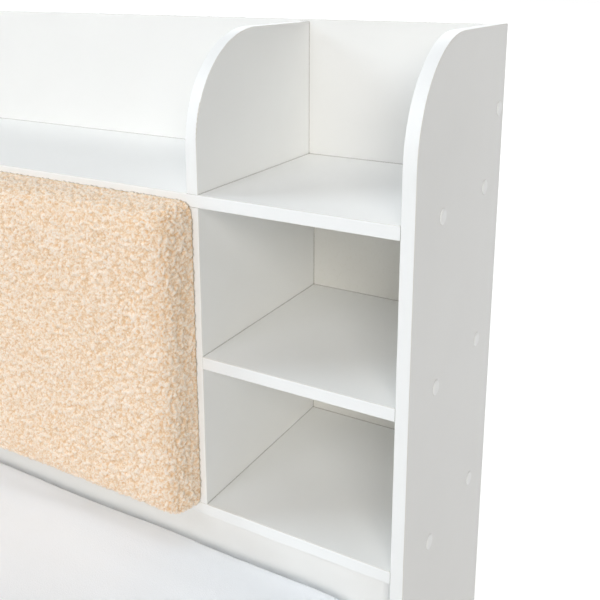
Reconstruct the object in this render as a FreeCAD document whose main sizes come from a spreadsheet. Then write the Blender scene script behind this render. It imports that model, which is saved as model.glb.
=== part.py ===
import FreeCAD, Part
import math
import os
import re
import Sketcher
from FreeCAD import Rotation, Vector

# A double bed for a 140 x 200 cm mattress whose headboard is a bookcase: laminated boards with
# rounded top corners, open cubbies at both ends and a fabric-covered pad between them.
# Millimetres, +Z up, the head end towards +Y, the origin on the floor under the bed's centre.

doc = FreeCAD.newDocument("bookcase_headboard_bed")

# ---------------------------------------------------------------------------------------------
# Driving dimensions
# ---------------------------------------------------------------------------------------------

SIZES = {
    # the mattress that the bed is made for
    "mattress_width": (1400, "width of the mattress"),
    "mattress_length": (2000, "length of the mattress"),
    "mattress_height": (200, "height of the mattress at its crown"),
    "mattress_round": (38, "rounding of its top and bottom edges"),
    "mattress_corner": (55, "corner radius seen from above"),
    "mattress_crown": (6, "swell of its top"),
    "mattress_swell": (450, "its edge to the flat middle of its top"),
    "side_gap": (5, "mattress to a side rail"),
    "end_gap": (5, "mattress to the headboard's front and to the footboard"),
    # all boards
    "board": (15, "thickness of every laminated board"),
    "edge_round": (1, "rounding of the boards' edge bands"),
    "fit": (0.3, "clearance of a loose fit and of every soft piece"),
    # the bookcase headboard
    "shelf_depth": (265, "depth of the shelves and lower dividers"),
    "shelf_above": (39, "mattress to the bottom shelf's underside"),
    "side_rise": (177, "top shelf to the top of the side panels and back board"),
    "divider_drop": (3, "top of an upper divider below the side panels"),
    "curve_radius": (122, "rounded front corner of side panels and upper dividers"),
    "cubby_width": (236, "clear width of a cubby"),
    "cubby_height": (175.5, "clear height of a lower cubby"),
    "thin_back": (3, "thickness of the thin back panel"),
    "back_recess": (8, "thin back panel to the rear of the side panels"),
    "front_recess": (15, "lower front panel behind the shelves' front edges"),
    # the pad
    "pad_lap": (7.5, "how far the pad covers the boards round it"),
    "pad_depth": (45, "how far the pad stands out"),
    "pad_board": (12, "thickness of the pad's board"),
    "pad_cover": (4, "thickness of the curly cover"),
    "pad_round": (22, "rounding of the pad's front edges"),
    "pad_corner": (26, "corner radius of the pad seen from the front"),
    "pad_crown": (3, "swell of the pad's face"),
    "pad_swell": (130, "the pad's edge to the flat middle of its face"),
    "pad_draw": (3, "how far the cover draws in at its back edge"),
    "pad_draw_depth": (12, "back edge to where the cover is at its widest"),
    # rails, footboard and slats
    "rail_above": (70, "how far a side rail rises over the slats"),
    "rail_below": (122, "how far a side rail reaches below its ledge"),
    "foot_rise": (30, "footboard over the side rails"),
    "slat_top": (230, "floor to the slats' upper face"),
    "slat_thick": (18, "thickness of a slat"),
    "slat_width": (80, "width of a slat"),
    "slat_start": (20, "first and last slat from the ends of the bed"),
    "slat_gap": (5, "a slat's end to the rail"),
    "slat_round": (2.5, "rounding of a slat's long edges"),
    "ledge": (30, "side of the square slat ledge"),
    "ledge_end": (10, "a ledge's end to the headboard or footboard"),
    "beam_width": (40, "width of the centre beam"),
    "beam_height": (60, "height of the centre beam"),
    "leg": (45, "side of a square centre leg"),
    # steel brackets and hangers
    "steel": (2.5, "thickness of brackets and hangers"),
    "bracket_leg": (60, "a rail bracket's leg along the rail"),
    "bracket_wing": (40, "a rail bracket's leg across the bed"),
    "bracket_height": (100, "height of a rail bracket"),
    "bracket_drop": (7, "a slat ledge to the rail bracket below it"),
    "bracket_near": (18, "corner to the nearer screw on the rail"),
    "bracket_far": (45, "corner to the farther screw on the rail"),
    "bracket_end": (25, "screws to a rail bracket's ends"),
    "wing_screw": (24, "rail to the screws in a bracket's wing"),
    "hanger_depth": (40, "how far a hanger carries the beam"),
    "hanger_height": (50, "height of a hanger's sides"),
    "hanger_flange": (20, "width of a hanger's flange"),
    "angle_leg": (30, "leg of a pad bracket"),
    "angle_height": (40, "height of a pad bracket"),
    "angle_steel": (2, "thickness of a pad bracket"),
    "angle_end": (50, "a pad bracket to the shelf above or below it"),
    "angle_screw": (18, "corner of a pad bracket to its screws"),
    # fasteners, caps and glides
    "screw_front": (76, "front edge to the front row of screws"),
    "screw_rear": (216, "front edge to the rear row of screws"),
    "panel_screw": (76, "screws of the lower front panel to its edges"),
    "screw_rise": (79, "top shelf to the screws of the top back board"),
    "board_screw": (6.4, "shank of a furniture screw"),
    "board_screw_head": (10, "head of a furniture screw"),
    "board_screw_length": (50, "length of a furniture screw"),
    "wood_screw": (4, "shank of a wood screw"),
    "wood_screw_head": (8, "head of a wood screw"),
    "board_bite": (10, "how far a wood screw bites into a board"),
    "ledge_bite": (17, "how far a slat's screw bites into the ledge"),
    "head_height": (2, "height of a screw's countersunk head"),
    "cap_width": (17, "diameter of a screw cap"),
    "cap_face": (13, "diameter of a screw cap's flat face"),
    "cap_rim": (0.7, "height of a screw cap's rim"),
    "cap_rise": (1.6, "how far a screw cap stands out"),
    "dowel": (8, "diameter of a beech dowel"),
    "dowel_depth": (15, "how far a dowel enters a divider"),
    "leg_bolt": (8, "diameter of a leg's bolt"),
    "leg_bolt_depth": (30, "how far a leg's bolt enters leg and beam"),
    "nail": (1.8, "shank of a back panel nail"),
    "nail_head": (5, "head of a back panel nail"),
    "nail_head_height": (0.6, "height of a back panel nail's head"),
    "nail_depth": (16, "how far a nail enters the shelves"),
    "nail_end": (40, "outermost nails to the side panel"),
    "glide": (13, "diameter of a floor glide"),
    "glide_height": (5, "height of a floor glide"),
    "glide_pin": (3, "diameter of a glide's pin"),
    "glide_pin_depth": (14, "how far a glide's pin enters its board"),
    "glide_end": (40, "glides to the ends of the board they carry"),
}

SLATS = 14
LEDGE_SCREWS = 7
NAILS = 5

sheet = doc.addObject("Spreadsheet::Sheet", "size")
for row, (alias, (value, meaning)) in enumerate(SIZES.items(), start=1):
    sheet.set(f"A{row}", alias)
    sheet.set(f"B{row}", str(value))
    sheet.set(f"C{row}", meaning)
    sheet.setAlias(f"B{row}", alias)
doc.recompute()

# Planes and lengths that the pieces share, as expressions in the sheet's words.
INNER = "(mattress_width / 2 + side_gap)"
OUTER = f"({INNER} + board)"
INNER_LENGTH = "(mattress_length + 2 * end_gap)"
HEAD_DEPTH = "(shelf_depth + thin_back + back_recess)"
REAR = f"(({HEAD_DEPTH} + {INNER_LENGTH} + board) / 2)"
FRONT = f"({REAR} - {HEAD_DEPTH})"
FOOT = f"({FRONT} - {INNER_LENGTH})"
SHELF_REAR = f"({FRONT} + shelf_depth)"
BACK_FRONT = f"({SHELF_REAR} - board)"
RECESSED = f"({FRONT} + front_recess)"
SLAT_UNDER = "(slat_top - slat_thick)"
BEAM_UNDER = f"({SLAT_UNDER} - beam_height)"
LEDGE_UNDER = f"({SLAT_UNDER} - ledge)"
RAIL_UNDER = f"({LEDGE_UNDER} - rail_below)"
BRACKET_UNDER = f"({LEDGE_UNDER} - bracket_drop - bracket_height)"
BOTTOM_SHELF = "(slat_top + mattress_height + shelf_above)"
BOTTOM_TOP = f"({BOTTOM_SHELF} + board)"
MIDDLE_SHELF = f"({BOTTOM_TOP} + cubby_height)"
TOP_SHELF = f"({MIDDLE_SHELF} + board + cubby_height)"
TOP = f"({TOP_SHELF} + board)"
DIVIDER = f"({INNER} - cubby_width - board)"
DIVIDER_MIDDLE = f"({DIVIDER} + board / 2)"

pieces = []


def bound(words):
    """An expression in the sheet's words, with each word tied to its cell."""
    return re.sub(r"[a-z_]+", lambda word: f"size.{word[0]}" if word[0] in SIZES else word[0], words)


def tie(thing, **expressions):
    for target, words in expressions.items():
        thing.setExpression(target, bound(words))


def place(thing, at, turn=None):
    """Puts a piece's own origin at three expressions, turned so that its Z points along turn."""
    if turn:
        thing.Placement = FreeCAD.Placement(Vector(0, 0, 0), Rotation(Vector(0, 0, 1), Vector(*turn)))
    for axis, words in zip("xyz", at):
        thing.setExpression(f"Placement.Base.{axis}", bound(words))


def keep(thing, label):
    """Names a finished piece, whose label names its file."""
    thing.Label = label
    pieces.append(thing)
    return thing


def box(name, at, wide, deep, tall):
    block = doc.addObject("Part::Box", name)
    tie(block, Length=wide, Width=deep, Height=tall)
    place(block, at)
    return block


def fuse(name, parts):
    union = doc.addObject("Part::MultiFuse", name)
    union.Shapes = parts
    union.Refine = True
    return union


def group(name, parts):
    compound = doc.addObject("Part::Compound", name)
    compound.Links = parts
    return compound


def twin(thing):
    """The left-hand twin of a right-hand piece."""
    mirror = doc.addObject("Part::Mirroring", f"{thing.Name}_twin")
    mirror.Source = thing
    mirror.Normal = Vector(1, 0, 0)
    return mirror


def twins(things):
    return [twin(thing) for thing in things]


def cut(name, blank, tools):
    """A blank drilled by the pieces that pass through it."""
    drilled = doc.addObject("Part::Cut", name)
    drilled.Base = blank
    drilled.Tool = group(f"{name}_tools", tools)
    return drilled


# ---------------------------------------------------------------------------------------------
# Boards: a pad over a sketch, with edge bands rounded where they show
# ---------------------------------------------------------------------------------------------


def new_sketch(body, role, name):
    sketch = body.newObject("Sketcher::SketchObject", name)
    plane = [feature for feature in body.Origin.OriginFeatures if feature.Role == role][0]
    sketch.AttachmentSupport = [(plane, "")]
    sketch.MapMode = "FlatFace"
    return sketch


def dimension(sketch, name, words, *constraint):
    index = sketch.addConstraint(Sketcher.Constraint(*constraint))
    sketch.renameConstraint(index, name)
    sketch.setExpression(f"Constraints.{name}", bound(words))


def rectangle(sketch, wide, deep):
    """A rectangle from the sketch's origin; the dimensions bring it to size."""
    start = 100
    corners = [Vector(0, 0), Vector(start, 0), Vector(start, start), Vector(0, start)]
    for here, there in zip(corners, corners[1:] + corners[:1]):
        sketch.addGeometry(Part.LineSegment(here, there))
    for side in range(4):
        sketch.addConstraint(Sketcher.Constraint("Coincident", side, 2, (side + 1) % 4, 1))
        sketch.addConstraint(Sketcher.Constraint(("Horizontal", "Vertical")[side % 2], side))
    sketch.addConstraint(Sketcher.Constraint("Coincident", 0, 1, -1, 1))
    dimension(sketch, "wide", wide, "DistanceX", 0, 1, 0, 2, start)
    dimension(sketch, "deep", deep, "DistanceY", 1, 1, 1, 2, start)


def edges_of(shape, chosen):
    return [f"Edge{n}" for n, edge in enumerate(shape.Edges, start=1) if chosen(edge, shape.BoundBox)]


def front_edges(edge, hull):
    """Long edges of the front, as on a shelf or a divider."""
    span = edge.BoundBox
    longest = max(hull.XLength, hull.ZLength)
    return span.YMax < hull.YMin + 0.01 and max(span.XLength, span.ZLength) > 0.9 * longest


def top_edges(edge, hull):
    """Long edges of the top, as on a rail or a footboard."""
    span = edge.BoundBox
    longest = max(hull.XLength, hull.YLength)
    return span.ZMin > hull.ZMax - 0.01 and max(span.XLength, span.YLength) > 0.9 * longest


def slat_edges(edge, hull):
    return edge.BoundBox.XLength > 0.9 * hull.XLength


def curve_edges(edge, hull):
    """The outline of both faces, but for the bottom and the rear."""
    span = edge.BoundBox
    return span.XLength < 0.01 and span.YMin < hull.YMax - 0.01 and span.ZMax > hull.ZMin + 0.01


def rounded(body, solid, chosen, radius):
    fillet = body.newObject("PartDesign::Fillet", f"{body.Name}_edges")
    doc.recompute([solid])
    fillet.Base = (solid, edges_of(solid.Shape, chosen))
    tie(fillet, Radius=radius)


def board(name, at, wide, deep, tall, edges=None, radius="edge_round"):
    """A board of the given size along X, Y and Z, standing on its lowest corner."""
    body = doc.addObject("PartDesign::Body", name)
    sketch = new_sketch(body, "XY_Plane", f"{name}_outline")
    rectangle(sketch, wide, deep)
    solid = body.newObject("PartDesign::Pad", f"{name}_solid")
    solid.Profile = sketch
    tie(solid, Length=tall)
    if edges:
        rounded(body, solid, edges, radius)
    place(body, at)
    return body


def curved_board(name, at, deep, tall):
    """An upright board of one board's thickness whose top front corner is a quarter circle."""
    body = doc.addObject("PartDesign::Body", name)
    sketch = new_sketch(body, "YZ_Plane", f"{name}_outline")
    deep_now, tall_now, radius_now = 270, 400, SIZES["curve_radius"][0]
    low_front, low_rear = Vector(0, 0), Vector(deep_now, 0)
    high_rear, arc_top = Vector(deep_now, tall_now), Vector(radius_now, tall_now)
    arc_front = Vector(0, tall_now - radius_now)
    circle = Part.Circle(Vector(radius_now, tall_now - radius_now), Vector(0, 0, 1), radius_now)
    for here, there in ((low_front, low_rear), (low_rear, high_rear), (high_rear, arc_top)):
        sketch.addGeometry(Part.LineSegment(here, there))
    sketch.addGeometry(Part.ArcOfCircle(circle, math.pi / 2, math.pi))
    sketch.addGeometry(Part.LineSegment(arc_front, low_front))
    for constraint in (
        ("Coincident", 0, 2, 1, 1),
        ("Coincident", 1, 2, 2, 1),
        ("Tangent", 2, 2, 3, 1),
        ("Tangent", 3, 2, 4, 1),
        ("Coincident", 4, 2, 0, 1),
        ("Coincident", 0, 1, -1, 1),
        ("Horizontal", 0),
        ("Vertical", 1),
        ("Horizontal", 2),
        ("Vertical", 4),
    ):
        sketch.addConstraint(Sketcher.Constraint(*constraint))
    dimension(sketch, "deep", deep, "DistanceX", 0, 1, 0, 2, deep_now)
    dimension(sketch, "tall", tall, "DistanceY", 1, 1, 1, 2, tall_now)
    dimension(sketch, "curve", "curve_radius", "Radius", 3, radius_now)
    solid = body.newObject("PartDesign::Pad", f"{name}_solid")
    solid.Profile = sketch
    tie(solid, Length="board")
    rounded(body, solid, curve_edges, "edge_round")
    place(body, at)
    return body


# ---------------------------------------------------------------------------------------------
# Fasteners: made once, then used both as pieces and as the drills of the boards they hold
# ---------------------------------------------------------------------------------------------


def along(at, turn, words):
    """A place that lies an expression further along a direction."""
    return [f"{start} + {step} * ({words})" for start, step in zip(at, turn)]


def rod(name, at, turn, width, length):
    cylinder = doc.addObject("Part::Cylinder", name)
    tie(cylinder, Radius=f"{width} / 2", Height=length)
    place(cylinder, at, turn)
    return cylinder


def screw(name, at, turn, width, head, length):
    """A countersunk screw: at is the middle of its head's flat, turn is the way it is driven."""
    cone = doc.addObject("Part::Cone", f"{name}_head")
    tie(cone, Radius1=f"{head} / 2", Radius2=f"{width} / 2", Height="head_height")
    place(cone, at, turn)
    shank = rod(f"{name}_shank", along(at, turn, "head_height"), turn, width, f"{length} - head_height")
    return fuse(name, [cone, shank])


def board_screw(name, at, turn):
    return screw(name, at, turn, "board_screw", "board_screw_head", "board_screw_length")


def wood_screw(name, at, turn, length):
    return screw(name, at, turn, "wood_screw", "wood_screw_head", length)


def cap(name, at):
    """A push-in screw cap: a thin rim, then a bevel up to a smaller flat face."""
    outwards = (1, 0, 0)
    rim = rod(f"{name}_rim", at, outwards, "cap_width", "cap_rim")
    bevel = doc.addObject("Part::Cone", f"{name}_bevel")
    tie(bevel, Radius1="cap_width / 2", Radius2="cap_face / 2", Height="cap_rise - cap_rim")
    place(bevel, along(at, outwards, "cap_rim"), outwards)
    return fuse(name, [rim, bevel])


def glide(name, x, y):
    """A nail-on floor glide under a board's lower edge."""
    foot = rod(f"{name}_foot", (x, y, "0"), (0, 0, 1), "glide", "glide_height")
    pin = rod(f"{name}_pin", (x, y, "glide_height"), (0, 0, 1), "glide_pin", "glide_pin_depth")
    return fuse(name, [foot, pin])


# Furniture screws through the right side panel, two in each shelf end, one in the top back board
# and two in the lower front panel, each under a cap.
shelf_middles = {
    "top": f"{TOP_SHELF} + board / 2",
    "middle": f"{MIDDLE_SHELF} + board / 2",
    "bottom": f"{BOTTOM_SHELF} + board / 2",
}
panel_spots = {}
for shelf, height in shelf_middles.items():
    panel_spots[f"{shelf}_front"] = (f"{FRONT} + screw_front", height)
    panel_spots[f"{shelf}_rear"] = (f"{FRONT} + screw_rear", height)
panel_spots["back_board"] = (f"{BACK_FRONT} + board / 2", f"{TOP} + screw_rise")
panel_spots["panel_low"] = (f"{RECESSED} + board / 2", f"{RAIL_UNDER} + panel_screw")
panel_spots["panel_high"] = (f"{RECESSED} + board / 2", f"{BOTTOM_SHELF} - panel_screw")
panel_screws = {}
panel_caps = []
for spot, (y, z) in panel_spots.items():
    panel_screws[spot] = board_screw(f"panel_screw_{spot}", (OUTER, y, z), (-1, 0, 0))
    panel_caps.append(cap(f"cap_{spot}", (OUTER, y, z)))

# Furniture screws into the dividers: up through the bottom shelf, forward through the back board.
under_divider = [
    board_screw(f"divider_screw_{row}", (DIVIDER_MIDDLE, f"{FRONT} + {row}", BOTTOM_SHELF), (0, 0, 1))
    for row in ("screw_front", "screw_rear")
]
behind_divider = board_screw(
    "divider_screw_back", (DIVIDER_MIDDLE, SHELF_REAR, f"{TOP} + screw_rise"), (0, -1, 0)
)

# Dowels that line up the upper divider, the top shelf and the lower divider.
divider_dowels = [
    rod(
        f"dowel_{row}",
        (DIVIDER_MIDDLE, f"{FRONT} + {row}", f"{TOP_SHELF} - dowel_depth"),
        (0, 0, 1),
        "dowel",
        "board + 2 * dowel_depth",
    )
    for row in ("screw_front", "screw_rear")
]

# Nails through the thin back panel into the rear edges of the top and bottom shelves.
nails = []
for shelf in ("top", "bottom"):
    for n in range(NAILS):
        x = f"({INNER} - nail_end) * {2 * n + 1} / {2 * NAILS - 1}"
        face = (x, f"{SHELF_REAR} + thin_back", shelf_middles[shelf])
        shank = rod(f"nail_{shelf}_{n}_shank", face, (0, -1, 0), "nail", "thin_back + nail_depth")
        head = rod(f"nail_{shelf}_{n}_head", face, (0, 1, 0), "nail_head", "nail_head_height")
        nails.append(fuse(f"nail_{shelf}_{n}", [shank, head]))

# Floor glides: two under each side panel, three under the footboard, one under each centre leg.
panel_middle = f"{OUTER} - board / 2"
foot_middle = f"{FOOT} - board / 2"
panel_glides = [
    glide("glide_panel_front", panel_middle, f"{FRONT} + glide_end"),
    glide("glide_panel_rear", panel_middle, f"{REAR} - glide_end"),
]
foot_glide_side = glide("glide_foot_side", f"{OUTER} - glide_end", foot_middle)
foot_glide_centre = glide("glide_foot_centre", "0", foot_middle)
leg_places = {"head": f"{FRONT} - {INNER_LENGTH} / 3", "foot": f"{FRONT} - 2 * {INNER_LENGTH} / 3"}
leg_glides = {end: glide(f"glide_leg_{end}", "0", y) for end, y in leg_places.items()}

# ---------------------------------------------------------------------------------------------
# The bookcase headboard
# ---------------------------------------------------------------------------------------------

side_panel_blank = curved_board(
    "side_panel_blank",
    (INNER, FRONT, "glide_height"),
    HEAD_DEPTH,
    f"{TOP} + side_rise - glide_height",
)
side_panel = cut("side_panel", side_panel_blank, list(panel_screws.values()) + panel_glides)
keep(side_panel, "side_panel_right")
keep(twin(side_panel), "side_panel_left")

left_screws = {spot: twin(thing) for spot, thing in panel_screws.items()}
left_dowels = twins(divider_dowels)
left_under = twins(under_divider)
left_behind = twin(behind_divider)
left_nails = twins(nails)


def both_ends(*spots):
    return [screws[spot] for screws in (panel_screws, left_screws) for spot in spots]


def nails_of(shelf):
    return [thing for thing in nails + left_nails if thing.Name.startswith(f"nail_{shelf}")]


# Full-width shelves between the side panels.
top_shelf_blank = board(
    "top_shelf_blank",
    (f"-{INNER}", FRONT, TOP_SHELF),
    f"2 * {INNER}",
    "shelf_depth",
    "board",
    front_edges,
)
top_shelf_tools = both_ends("top_front", "top_rear") + divider_dowels + left_dowels + nails_of("top")
keep(cut("top_shelf_drilled", top_shelf_blank, top_shelf_tools), "top_shelf")

bottom_shelf_blank = board(
    "bottom_shelf_blank",
    (f"-{INNER}", FRONT, BOTTOM_SHELF),
    f"2 * {INNER}",
    "shelf_depth",
    "board",
    front_edges,
)
bottom_tools = both_ends("bottom_front", "bottom_rear") + under_divider + left_under + nails_of("bottom")
keep(cut("bottom_shelf_drilled", bottom_shelf_blank, bottom_tools), "bottom_shelf")

# The dividers, the short middle shelves between divider and side panel, and the top back board.
lower_divider_blank = board(
    "lower_divider_blank",
    (DIVIDER, FRONT, BOTTOM_TOP),
    "board",
    "shelf_depth",
    "2 * cubby_height + board",
    front_edges,
)
upper_divider_blank = curved_board(
    "upper_divider_blank", (DIVIDER, FRONT, TOP), "shelf_depth - board", "side_rise - divider_drop"
)
upper_divider = cut("upper_divider", upper_divider_blank, divider_dowels + [behind_divider])
keep(upper_divider, "upper_divider_right")
keep(twin(upper_divider), "upper_divider_left")

middle_shelf_blank = board(
    "middle_shelf_blank",
    (f"{DIVIDER} + board", FRONT, MIDDLE_SHELF),
    "cubby_width",
    "shelf_depth",
    "board",
    front_edges,
)
shelf_dowels = [
    rod(
        f"shelf_dowel_{row}",
        (f"{DIVIDER} + board - board / 2", f"{FRONT} + {row}", shelf_middles["middle"]),
        (1, 0, 0),
        "dowel",
        "board / 2 + dowel_depth",
    )
    for row in ("screw_front", "screw_rear")
]
middle_tools = [panel_screws["middle_front"], panel_screws["middle_rear"]] + shelf_dowels
middle_shelf = cut("middle_shelf", middle_shelf_blank, middle_tools)
keep(middle_shelf, "middle_shelf_right")
keep(twin(middle_shelf), "middle_shelf_left")

# Small steel angles on the divider's inner side hold the pad's board from behind.
angle_heights = {
    "low": f"{BOTTOM_TOP} + angle_end",
    "high": f"{TOP_SHELF} - angle_end - angle_height",
}
pad_angles = []
pad_screws = []
for end, z in angle_heights.items():
    on_divider = box(f"angle_{end}_side", (f"{DIVIDER} - angle_steel", FRONT, z),
                     "angle_steel", "angle_leg", "angle_height")
    on_board = box(f"angle_{end}_front", (f"{DIVIDER} - angle_leg", FRONT, z),
                   "angle_leg", "angle_steel", "angle_height")
    middle = f"{z} + angle_height / 2"
    into_divider = wood_screw(
        f"pad_screw_{end}_side",
        (f"{DIVIDER} - angle_steel", f"{FRONT} + angle_screw", middle),
        (1, 0, 0),
        "angle_steel + board_bite",
    )
    into_board = wood_screw(
        f"pad_screw_{end}_front",
        (f"{DIVIDER} - angle_screw", f"{FRONT} + angle_steel", middle),
        (0, -1, 0),
        "angle_steel + board_bite",
    )
    pad_screws += [into_divider, into_board]
    angle = fuse(f"angle_{end}", [on_divider, on_board])
    pad_angles.append(cut(f"angle_{end}_drilled", angle, [into_divider, into_board]))
left_pad_screws = twins(pad_screws)
both_angles = pad_angles + twins(pad_angles)
keep(group("pad_angles", both_angles), "pad_brackets")
keep(group("pad_screws_all", pad_screws + left_pad_screws), "pad_screws")

lower_tools = divider_dowels + under_divider + shelf_dowels + [pad_screws[0], pad_screws[2]]
lower_divider = cut("lower_divider", lower_divider_blank, lower_tools)
keep(lower_divider, "lower_divider_right")
keep(twin(lower_divider), "lower_divider_left")

top_back_blank = board(
    "top_back_blank",
    (f"-{INNER}", BACK_FRONT, TOP),
    f"2 * {INNER}",
    "board",
    "side_rise",
    top_edges,
)
back_tools = both_ends("back_board") + [behind_divider, left_behind]
keep(cut("top_back_drilled", top_back_blank, back_tools), "top_back_board")

thin_blank = box(
    "thin_back_blank",
    (f"-{INNER}", SHELF_REAR, BOTTOM_SHELF),
    f"2 * {INNER}",
    "thin_back",
    "3 * board + 2 * cubby_height",
)
keep(cut("thin_back_drilled", thin_blank, nails + left_nails), "thin_back_panel")

# ---------------------------------------------------------------------------------------------
# The pad: a board, a foam block with a crowned face and a curly cover drawn over both
# ---------------------------------------------------------------------------------------------


def rounded_rectangle(sketch, wide, tall, corner, now):
    """A rounded rectangle about the sketch's origin, drawn near its size and then dimensioned."""
    half_wide, half_tall, radius = now
    spots = [(1, -1), (1, 1), (-1, 1), (-1, -1)]
    quarter = math.pi / 2
    for n, (right, up) in enumerate(spots):
        centre = Vector(right * (half_wide - radius), up * (half_tall - radius))
        circle = Part.Circle(centre, Vector(0, 0, 1), radius)
        arc = Part.ArcOfCircle(circle, (n - 1) * quarter, n * quarter)
        sketch.addGeometry(arc)
    for n in range(4):
        arc, following = sketch.Geometry[n], sketch.Geometry[(n + 1) % 4]
        sketch.addGeometry(Part.LineSegment(arc.EndPoint, following.StartPoint))
    for n in range(4):
        line = 4 + n
        sketch.addConstraint(Sketcher.Constraint("Tangent", n, 2, line, 1))
        sketch.addConstraint(Sketcher.Constraint("Tangent", line, 2, (n + 1) % 4, 1))
        sketch.addConstraint(Sketcher.Constraint(("Vertical", "Horizontal")[n % 2], line))
    for n in range(1, 4):
        sketch.addConstraint(Sketcher.Constraint("Equal", 0, n))
    sketch.addConstraint(Sketcher.Constraint("Symmetric", 0, 3, 2, 3, -1, 1))
    dimension(sketch, "corner", corner, "Radius", 0, radius)
    dimension(sketch, "wide", wide, "DistanceX", 6, 1, 4, 1, 2 * half_wide)
    dimension(sketch, "tall", tall, "DistanceY", 7, 1, 5, 1, 2 * half_tall)


def soft_sections(body, role, name, stations, wide, tall, corner, now):
    """One sketch per station; a station is how far it lies off the plane and how far it draws in."""
    sketches = []
    for n, (lift, inset) in enumerate(stations):
        sketch = new_sketch(body, role, f"{name}_{n}")
        tie(sketch, **{"AttachmentOffset.Base.z": lift})
        rounded_rectangle(sketch, f"{wide} - 2 * ({inset})", f"{tall} - 2 * ({inset})", corner, now)
        sketches.append(sketch)
    return sketches


def soft_form(body, kind, name, sketches):
    form = body.newObject(f"PartDesign::{kind}", name)
    form.Profile = sketches[0]
    form.Sections = sketches[1:]
    form.Ruled = True
    return form


QUARTER_ROUND = (0, 18, 36, 54, 72, 90)
CROWN_STEPS = (0.3, 0.65, 1.0)


def round_over(level, radius):
    """Stations of a quarter round that ends at a level, seen in profile."""
    for angle in QUARTER_ROUND:
        rise, draw = math.sin(math.radians(angle)), 1 - math.cos(math.radians(angle))
        yield f"{level} - {radius} * {1 - rise:.4f}", f"{radius} * {draw:.4f}"


def crown(level, radius, height, reach):
    """Stations of the gentle swell from the end of the round to the middle of the face."""
    for share in CROWN_STEPS:
        swell = 1 - (1 - share) ** 2
        yield f"{level} + {height} * {swell:.4f}", f"{radius} + ({reach} - {radius}) * {share}"


PAD_WIDTH = f"(2 * {DIVIDER_MIDDLE} - board + 2 * pad_lap)"
PAD_LOW = f"({BOTTOM_TOP} - pad_lap)"
PAD_HEIGHT = "(2 * cubby_height + board + 2 * pad_lap)"
PAD_NOW = (460, 190, SIZES["pad_corner"][0])


def pad_stations(start, skin):
    """The pad's profile from its back to its face, set in by a skin's thickness."""
    level = f"pad_depth - pad_crown - {skin}"
    stations = [(start, f"pad_draw + {skin}"), ("pad_draw_depth", skin)]
    face = list(round_over(level, "pad_round")) + list(crown(level, "pad_round", "pad_crown", "pad_swell"))
    return stations + [(lift, f"{inset} + {skin}") for lift, inset in face]


pad_place = ("0", FRONT, f"{PAD_LOW} + {PAD_HEIGHT} / 2")

cover = doc.addObject("PartDesign::Body", "cover")
outside = soft_sections(cover, "XZ_Plane", "cover_outside", pad_stations("fit", "0"),
                        PAD_WIDTH, PAD_HEIGHT, "pad_corner", PAD_NOW)
soft_form(cover, "AdditiveLoft", "cover_form", outside)
inside = soft_sections(cover, "XZ_Plane", "cover_inside", pad_stations("-fit", "pad_cover"),
                       PAD_WIDTH, PAD_HEIGHT, "pad_corner", PAD_NOW)
soft_form(cover, "SubtractiveLoft", "cover_hollow", inside)
place(cover, pad_place)
keep(cover, "pad_cover")

foam_skin = "(pad_cover + fit)"
foam = doc.addObject("PartDesign::Body", "foam")
foam_stations = [("pad_board + fit", foam_skin)] + pad_stations("0", foam_skin)[2:]
foam_sections = soft_sections(foam, "XZ_Plane", "foam_section", foam_stations,
                              PAD_WIDTH, PAD_HEIGHT, "pad_corner", PAD_NOW)
soft_form(foam, "AdditiveLoft", "foam_form", foam_sections)
place(foam, pad_place)
keep(foam, "pad_foam")

pad_inset = "(pad_draw + pad_cover + fit)"
pad_board_blank = board(
    "pad_board_blank",
    (f"-{PAD_WIDTH} / 2 + {pad_inset}", f"{FRONT} - pad_board", f"{PAD_LOW} + {pad_inset}"),
    f"{PAD_WIDTH} - 2 * {pad_inset}",
    "pad_board",
    f"{PAD_HEIGHT} - 2 * {pad_inset}",
)
pad_board_tools = [pad_screws[1], pad_screws[3], left_pad_screws[1], left_pad_screws[3]]
keep(cut("pad_board_drilled", pad_board_blank, pad_board_tools), "pad_board")

# ---------------------------------------------------------------------------------------------
# Rails, footboard, brackets and the slatted base
# ---------------------------------------------------------------------------------------------


def bracket(end, corner_y, leg_low_y, leg_length, wing_low_y, screw_y, drive):
    """The right rail bracket of one end: a leg on the rail, a wing on the board across the bed."""
    leg = box(f"bracket_{end}_leg", (f"{INNER} - steel", leg_low_y, BRACKET_UNDER),
              "steel", leg_length, "bracket_height")
    wing = box(f"bracket_{end}_wing", (f"{INNER} - bracket_wing", wing_low_y, BRACKET_UNDER),
               "bracket_wing", "steel", "bracket_height")
    rail_screws, wing_screws = [], []
    for n, rise in enumerate(("bracket_end", "bracket_height - bracket_end")):
        z = f"{BRACKET_UNDER} + {rise}"
        rail_screws.append(wood_screw(f"rail_screw_{end}_{n}", (f"{INNER} - steel", screw_y[n], z),
                                      (1, 0, 0), "steel + board_bite"))
        wing_screws.append(wood_screw(f"wing_screw_{end}_{n}", (f"{INNER} - wing_screw", corner_y, z),
                                      drive, "steel + board_bite"))
    angle = fuse(f"bracket_{end}", [leg, wing])
    return cut(f"bracket_{end}_drilled", angle, rail_screws + wing_screws), rail_screws, wing_screws


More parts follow.
